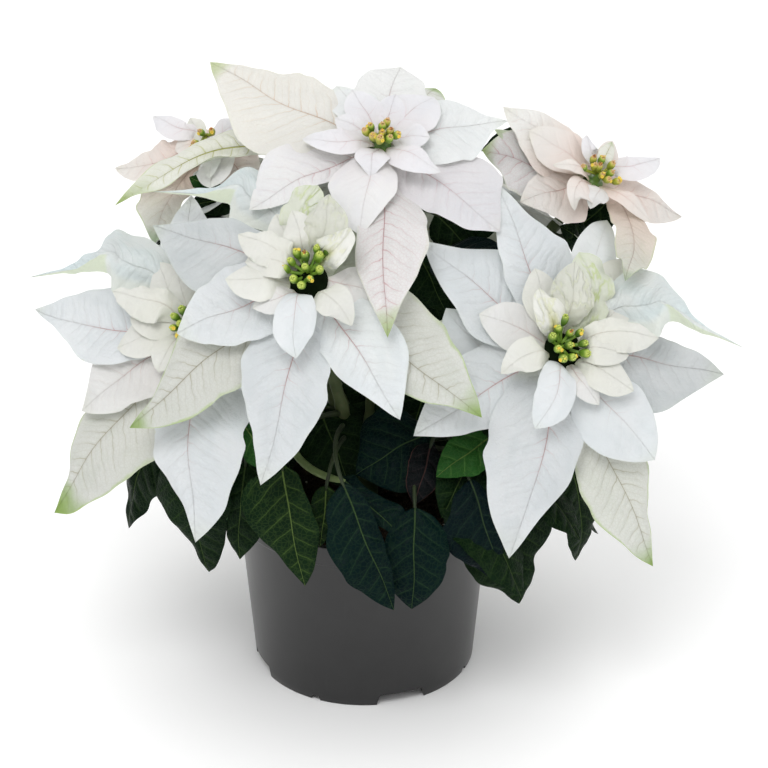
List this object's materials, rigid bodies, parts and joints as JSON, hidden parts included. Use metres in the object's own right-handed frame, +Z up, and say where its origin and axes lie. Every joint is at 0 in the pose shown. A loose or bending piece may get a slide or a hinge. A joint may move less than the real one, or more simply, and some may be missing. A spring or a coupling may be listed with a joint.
{
  "type": "poinsettia",
  "caption": "White poinsettia plant with pale bract stars over dark foliage, growing in a plain round grey nursery pot that stands on its flat base.",
  "frame": {"origin": "centre of the underside of the pot's base, on the surface that the pot stands on", "axes": "+Z up along the pot's axis, -Y towards the side that the fullest flower heads face, +X to the right seen from that side"},
  "size_m": [0.461, 0.33, 0.3697],
  "materials": {
    "pot": "satin moulded",
    "compost": "loose damp peat",
    "stem": "smooth green bark",
    "flower_cups": "waxy",
    "inner_bracts": "soft matt petal",
    "outer_bracts": "soft matt petal",
    "leaf": "slightly glossy leaf"
  },
  "bodies": {
    "root": {"pot": "pot", "compost": "compost", "stems": "stem", "flower_cups_A": "flower_cups", "inner_bracts_A": "inner_bracts", "outer_bracts_A": "outer_bracts", "flower_cups_B": "flower_cups", "inner_bracts_B": "inner_bracts", "outer_bracts_B": "outer_bracts", "flower_cups_C": "flower_cups", "inner_bracts_C": "inner_bracts", "outer_bracts_C": "outer_bracts", "flower_cups_D": "flower_cups", "inner_bracts_D": "inner_bracts", "outer_bracts_D": "outer_bracts", "flower_cups_E": "flower_cups", "inner_bracts_E": "inner_bracts", "outer_bracts_E": "outer_bracts", "flower_cups_F": "flower_cups", "inner_bracts_F": "inner_bracts", "outer_bracts_F": "outer_bracts", "flower_cups_G": "flower_cups", "inner_bracts_G": "inner_bracts", "outer_bracts_G": "outer_bracts", "flower_cups_H": "flower_cups", "inner_bracts_H": "inner_bracts", "outer_bracts_H": "outer_bracts", "leaf_01": "leaf", "leaf_02": "leaf", "leaf_03": "leaf", "leaf_04": "leaf", "leaf_05": "leaf", "leaf_06": "leaf", "leaf_07": "leaf", "leaf_08": "leaf", "leaf_09": "leaf", "leaf_10": "leaf", "leaf_11": "leaf", "leaf_12": "leaf", "leaf_13": "leaf", "leaf_14": "leaf", "leaf_15": "leaf", "leaf_16": "leaf", "leaf_17": "leaf", "leaf_18": "leaf", "leaf_19": "leaf", "leaf_20": "leaf", "leaf_21": "leaf", "leaf_22": "leaf", "leaf_23": "leaf", "leaf_24": "leaf", "leaf_25": "leaf", "leaf_26": "leaf", "leaf_27": "leaf", "leaf_28": "leaf", "leaf_29": "leaf", "leaf_30": "leaf", "leaf_31": "leaf", "leaf_32": "leaf", "leaf_33": "leaf"}
  },
  "joints": []
}
